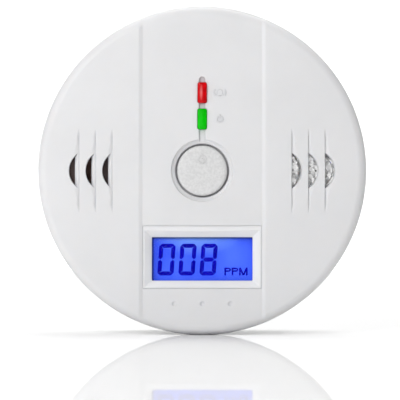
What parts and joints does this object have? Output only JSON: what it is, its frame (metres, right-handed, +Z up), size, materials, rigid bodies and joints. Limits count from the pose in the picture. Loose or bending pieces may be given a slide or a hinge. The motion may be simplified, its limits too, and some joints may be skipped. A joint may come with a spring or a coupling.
{
  "type": "carbon monoxide detector",
  "caption": "Round white wall-mounted carbon monoxide detector with a blue digital display, test button, red and green lenses, side vents, hinged battery door and twist-on bracket.",
  "frame": {"origin": "on the axis of the round case at the wall plane, midway between the bracket's two screw slots", "axes": "+Z up, +Y into the wall, so the face with the display looks along -Y; +X to the right seen from the front"},
  "size_m": [0.1, 0.038, 0.1],
  "materials": {
    "case_white": "satin",
    "button_white": "satin",
    "bezel_white": "satin",
    "housing_white": "matte",
    "bracket_white": "matte",
    "lens_red": "gloss",
    "lens_green": "gloss",
    "window_clear": "gloss",
    "display_blue": "gloss",
    "backlight_white": "gloss",
    "holder_white": "matte",
    "tinned_metal": "satin",
    "board_green": "satin",
    "chip_black": "matte",
    "ferrite_dark": "matte",
    "capacitor_can": "satin",
    "resistor_dark": "satin",
    "capacitor_tan": "satin",
    "diode_red": "gloss",
    "diode_green": "gloss",
    "switch_black": "matte",
    "sensor_steel": "satin",
    "seal_rubber": "matte",
    "filter_cloth": "matte",
    "sounder_brown": "satin",
    "disc_brass": "satin",
    "disc_ceramic": "satin",
    "lead_red": "satin",
    "lead_black": "satin",
    "screw_steel": "satin",
    "cell_jacket": "gloss",
    "contact_steel": "satin"
  },
  "bodies": {
    "bracket": {"mounting_bracket": "bracket_white"},
    "alarm": {"front_cover": "case_white", "alarm_lens_red": "lens_red", "status_lens_green": "lens_green", "display_bezel": "bezel_white", "display_window": "window_clear", "lcd_glass": "display_blue", "lcd_backlight": "backlight_white", "lcd_holder": "holder_white", "lcd_pins": "tinned_metal", "main_pcb": "board_green", "microcontroller": "chip_black", "driver_chip": "chip_black", "inductor": "ferrite_dark", "crystal": "sensor_steel", "capacitor_large": "capacitor_can", "capacitor_small": "capacitor_can", "chip_resistors": "resistor_dark", "chip_capacitors": "capacitor_tan", "transistors": "chip_black", "led_red": "diode_red", "led_green": "diode_green", "switch_body": "switch_black", "sensor_can": "sensor_steel", "sensor_gasket": "seal_rubber", "sensor_lid": "sensor_steel", "sensor_filter": "filter_cloth", "sensor_tab_can": "tinned_metal", "sensor_tab_lid": "tinned_metal", "sounder_chamber": "sounder_brown", "sounder_gasket": "seal_rubber", "piezo_disc": "disc_brass", "piezo_ceramic": "disc_ceramic", "sounder_lead_red": "lead_red", "sounder_lead_black": "lead_black", "rear_housing": "housing_white", "housing_screws": "screw_steel", "pcb_screws": "screw_steel", "battery_cell_left": "cell_jacket", "battery_cell_middle": "cell_jacket", "battery_cell_right": "cell_jacket", "contact_positive": "contact_steel", "contact_link_upper": "contact_steel", "contact_link_lower": "contact_steel", "contact_negative": "contact_steel", "battery_springs": "contact_steel", "battery_lead_red": "lead_red", "battery_lead_black": "lead_black"},
    "button": {"test_button": "button_white", "switch_plunger": "switch_black"},
    "door": {"battery_door": "housing_white"}
  },
  "joints": [
    {"name": "alarm_twist", "type": "hinge", "parent": "bracket", "child": "alarm", "pos_m": [0, 0, 0], "axis": [0, -1, 0], "range_deg": [0, 20]},
    {"name": "test_button_press", "type": "slide", "parent": "alarm", "child": "button", "axis": [0, 1, 0], "range_m": [0, 0.0009], "stiffness_N_per_m": 1500},
    {"name": "battery_door_hinge", "type": "hinge", "parent": "alarm", "child": "door", "pos_m": [0, -0.004, -0.03], "axis": [-1, 0, 0], "range_deg": [0, 100]}
  ]
}
